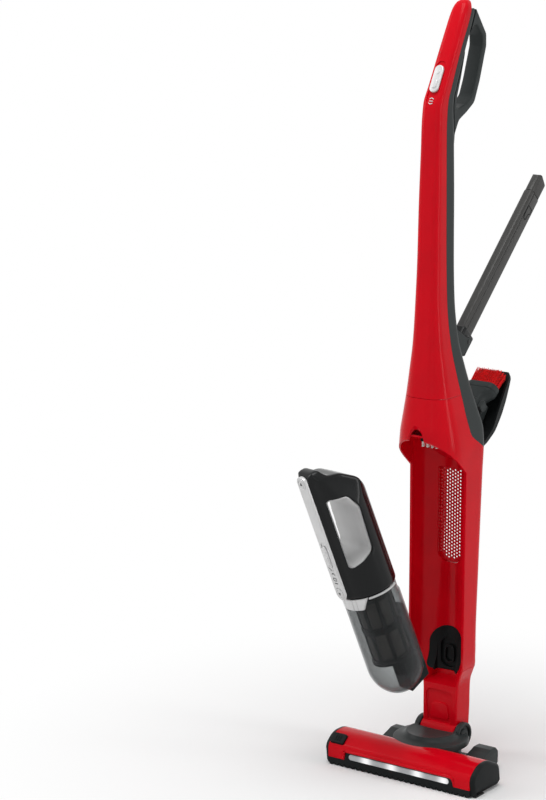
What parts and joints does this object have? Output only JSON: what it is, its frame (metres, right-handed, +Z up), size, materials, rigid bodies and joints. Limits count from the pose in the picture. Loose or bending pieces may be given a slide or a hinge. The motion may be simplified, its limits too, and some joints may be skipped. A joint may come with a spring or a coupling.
{
  "type": "upright cordless vacuum cleaner",
  "caption": "Upright two-in-one stick vacuum with a removable hand unit leaning out of its dock, rear flap and crevice tool swung out, and a wide swivelling floor nozzle.",
  "frame": {"origin": "on the floor at the nozzle's rear edge, on the middle of its width, on the face of the rear glide", "axes": "+Z up the stick, the nozzle's front faces -Y, +X to the right of someone who stands in front of it and looks along -X to +X as left to right"},
  "size_m": [0.265, 0.5065, 1.143],
  "materials": {
    "red_gloss": "bright cherry red gloss moulding with a clear sheen",
    "black_satin": "fine-grained black satin moulding",
    "black_gloss": "deep black gloss moulding",
    "grey_satin": "dark slate-grey satin moulding",
    "tool_grey": "dark warm-grey satin moulding",
    "grip_soft": "light grey soft-touch overmould",
    "silver_satin": "silver satin paint",
    "smoky_clear": "clear smoky moulding",
    "lamp_clear": "clear lamp window",
    "steel": "plain steel",
    "core_alloy": "drawn aluminium tube",
    "contact_plate": "plated contact",
    "board": "green circuit board",
    "rubber": "black rubber",
    "brush_red": "bright red nylon tufts",
    "roll_red": "dark red roll core",
    "brush_dark": "dark nylon strips",
    "cells": "blue wrapped cells",
    "fan": "dark fan moulding",
    "filter_felt": "dark filter cloth"
  },
  "bodies": {
    "nozzle": {"nozzle_base": "black_satin", "front_lip": "black_satin", "nozzle_cover": "red_gloss", "end_cap_left": "black_satin", "end_cap_right": "black_satin", "lamp_lens": "lamp_clear", "lamp_board": "board", "roll_motor": "steel", "drive_belt": "rubber", "rear_legs": "grey_satin", "wheel_axles": "steel", "floor_glides": "rubber"},
    "brush_roll": {"brush_roll": "roll_red", "roll_bristles": "brush_dark"},
    "release_button": {"release_button": "grey_satin"},
    "wheel_left": {"wheel_left": "grey_satin"},
    "wheel_right": {"wheel_right": "grey_satin"},
    "turret": {"turret": "grey_satin", "tilt_pin": "steel"},
    "upright": {"neck_barrel": "red_gloss", "neck": "red_gloss", "neck_duct": "black_satin", "dock_shell": "red_gloss", "air_grille": "red_gloss", "dock_socket": "black_satin", "head_cover": "red_gloss", "dock_roof": "red_gloss", "contact_block": "black_satin", "charge_contacts": "contact_plate", "stick_front": "red_gloss", "rear_shell": "grey_satin", "handle_loop": "grey_satin", "stick_core": "core_alloy", "switch_board": "board", "rear_screws": "steel", "tool_bracket": "grey_satin", "flap_pin": "steel"},
    "switch_slider": {"switch_slider": "silver_satin"},
    "rear_flap": {"flap_panel": "black_satin", "brush_holder": "grey_satin", "dusting_brush": "grey_satin", "dusting_bristles": "brush_red"},
    "tool_clip": {"tool_clip": "black_gloss"},
    "crevice_tool": {"crevice_tool": "tool_grey"},
    "hand_unit": {"unit_housing": "black_gloss", "grip_strip": "silver_satin", "grip_liner": "grip_soft", "latch_band": "silver_satin", "motor_plate": "black_satin", "suction_motor": "steel", "battery_cells": "cells", "filter_cage": "black_satin", "filter_sleeve": "filter_felt", "dust_container": "smoky_clear", "inlet_heel": "black_satin"},
    "impeller": {"impeller": "fan"},
    "power_slider": {"power_slider": "silver_satin"},
    "container_button": {"container_button": "silver_satin"}
  },
  "joints": [
    {"name": "roll_spin", "type": "hinge", "parent": "nozzle", "child": "brush_roll", "pos_m": [0, -0.0515, 0.018], "axis": [1, 0, 0], "continuous": true},
    {"name": "release_press", "type": "slide", "parent": "nozzle", "child": "release_button", "axis": [0, 0.6198, -0.7848], "range_m": [0, 0.002], "stiffness_N_per_m": 300},
    {"name": "wheel_left_spin", "type": "hinge", "parent": "nozzle", "child": "wheel_left", "pos_m": [-0.075, 0.047, 0.014], "axis": [1, 0, 0], "continuous": true},
    {"name": "wheel_right_spin", "type": "hinge", "parent": "nozzle", "child": "wheel_right", "pos_m": [0.075, 0.047, 0.014], "axis": [1, 0, 0], "continuous": true},
    {"name": "neck_swivel", "type": "hinge", "parent": "nozzle", "child": "turret", "pos_m": [0, 0.015, 0], "axis": [0, 0, 1], "range_deg": [-30, 30]},
    {"name": "neck_tilt", "type": "hinge", "parent": "turret", "child": "upright", "pos_m": [0, 0.047, 0.044], "axis": [-1, 0, 0], "range_deg": [0, 65]},
    {"name": "switch_slide", "type": "slide", "parent": "upright", "child": "switch_slider", "axis": [0, 0.4724, 0.8814], "range_m": [-0.005, 0.005]},
    {"name": "flap_swing", "type": "hinge", "parent": "upright", "child": "rear_flap", "pos_m": [0, 0.088, 0.478], "axis": [-1, 0, 0], "range_deg": [-55, 8]},
    {"name": "clip_swing", "type": "hinge", "parent": "upright", "child": "tool_clip", "pos_m": [0, 0.076, 0.642], "axis": [-1, 0, 0], "range_deg": [-46, 8]},
    {"name": "tool_pull", "type": "slide", "parent": "tool_clip", "child": "crevice_tool", "axis": [0, 0.7193, 0.6947], "range_m": [0, 0.06]},
    {"name": "unit_swing", "type": "hinge", "parent": "upright", "child": "hand_unit", "pos_m": [0.082, -0.08, -0.148], "axis": [0.6556, -0.2649, -0.7071], "range_deg": [-28.2, 6]},
    {"name": "impeller_spin", "type": "hinge", "parent": "hand_unit", "child": "impeller", "pos_m": [-0.04409, -0.09199, 0.29832], "axis": [-0.1802, -0.2876, 0.9407], "continuous": true},
    {"name": "power_slide", "type": "slide", "parent": "hand_unit", "child": "power_slider", "axis": [-0.1802, -0.2876, 0.9407], "range_m": [-0.005, 0.005]},
    {"name": "container_press", "type": "slide", "parent": "hand_unit", "child": "container_button", "axis": [0.3135, 0.8896, 0.332], "range_m": [0, 0.0015], "stiffness_N_per_m": 300}
  ]
}
